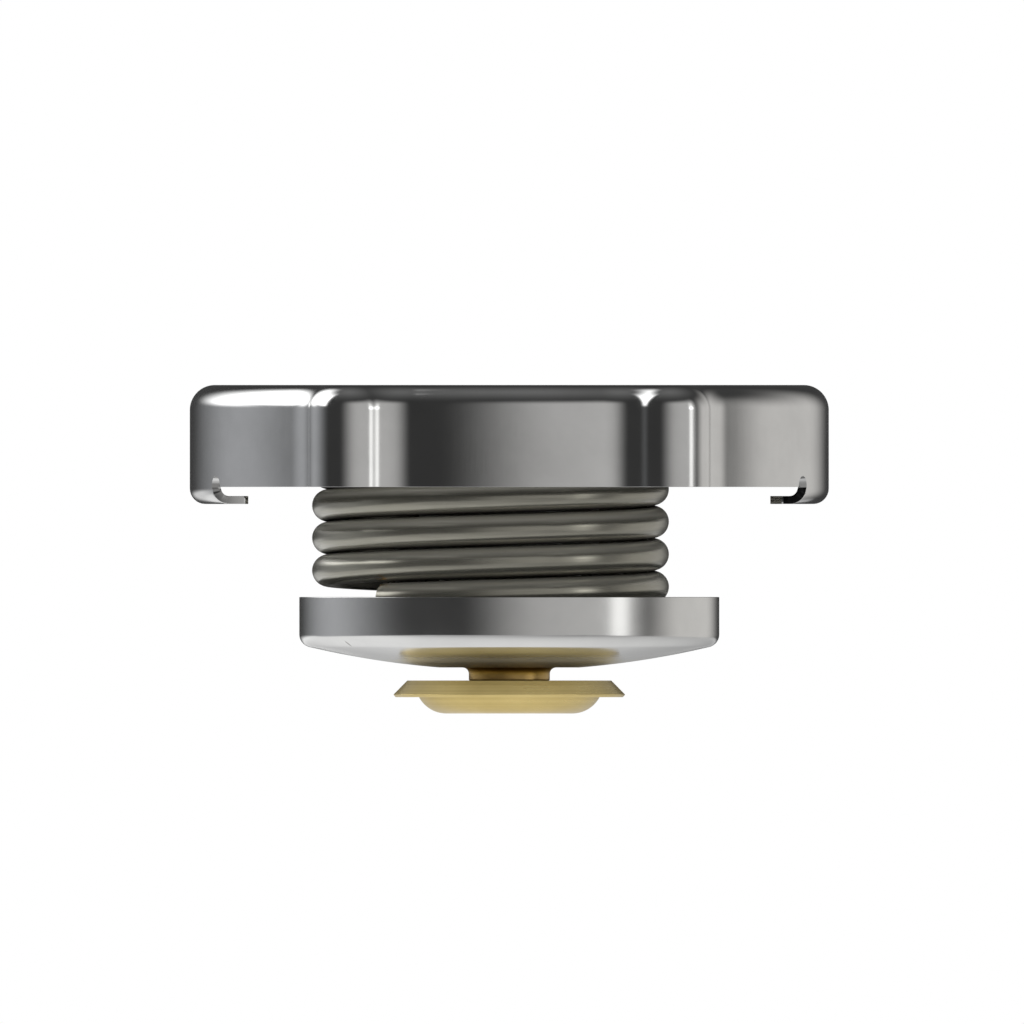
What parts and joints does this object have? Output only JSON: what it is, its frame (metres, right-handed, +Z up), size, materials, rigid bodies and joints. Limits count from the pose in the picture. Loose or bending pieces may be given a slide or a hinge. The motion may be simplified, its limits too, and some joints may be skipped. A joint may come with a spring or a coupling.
{
  "type": "radiator cap",
  "caption": "Bayonet radiator cap: pressed steel shell with a lobed grip, exposed pressure spring, domed valve plate and brass vacuum valve.",
  "frame": {"origin": "on the cap's axis, at the flat foot of the brass valve that the cap stands on", "axes": "+Z up along the axis towards the crown, +X through the middle of an ear and its lug"},
  "size_m": [0.064, 0.059, 0.0329],
  "materials": {
    "polished_steel": "polished",
    "satin_steel": "satin",
    "spring_steel": "drawn wire",
    "plated_steel": "plated",
    "brass": "satin",
    "rubber": "matte"
  },
  "bodies": {
    "shell": {"cap_shell": "polished_steel", "centre_rivet": "plated_steel"},
    "carrier": {"diaphragm_disc": "satin_steel", "neck_gasket": "rubber", "upper_spring_seat": "plated_steel", "guide_cup": "plated_steel", "main_spring": "spring_steel"},
    "pressure_valve": {"spring_pan": "plated_steel", "pressure_plate": "satin_steel", "vacuum_spring": "spring_steel"},
    "vent": {"vacuum_valve": "brass", "vacuum_seal": "rubber", "stem_washer": "plated_steel"}
  },
  "joints": [
    {"name": "carrier_swivel", "type": "hinge", "parent": "shell", "child": "carrier", "pos_m": [0, 0, 0.0298], "axis": [0, 0, 1], "continuous": true},
    {"name": "pressure_lift", "type": "slide", "parent": "carrier", "child": "pressure_valve", "axis": [0, 0, 1], "range_m": [0, 0.001], "stiffness_N_per_m": 5400, "deforming": ["main_spring"]},
    {"name": "vacuum_drop", "type": "slide", "parent": "pressure_valve", "child": "vent", "axis": [0, 0, -1], "range_m": [0, 0.0015], "stiffness_N_per_m": 63, "springref_m": -0.002, "deforming": ["vacuum_spring"]}
  ]
}
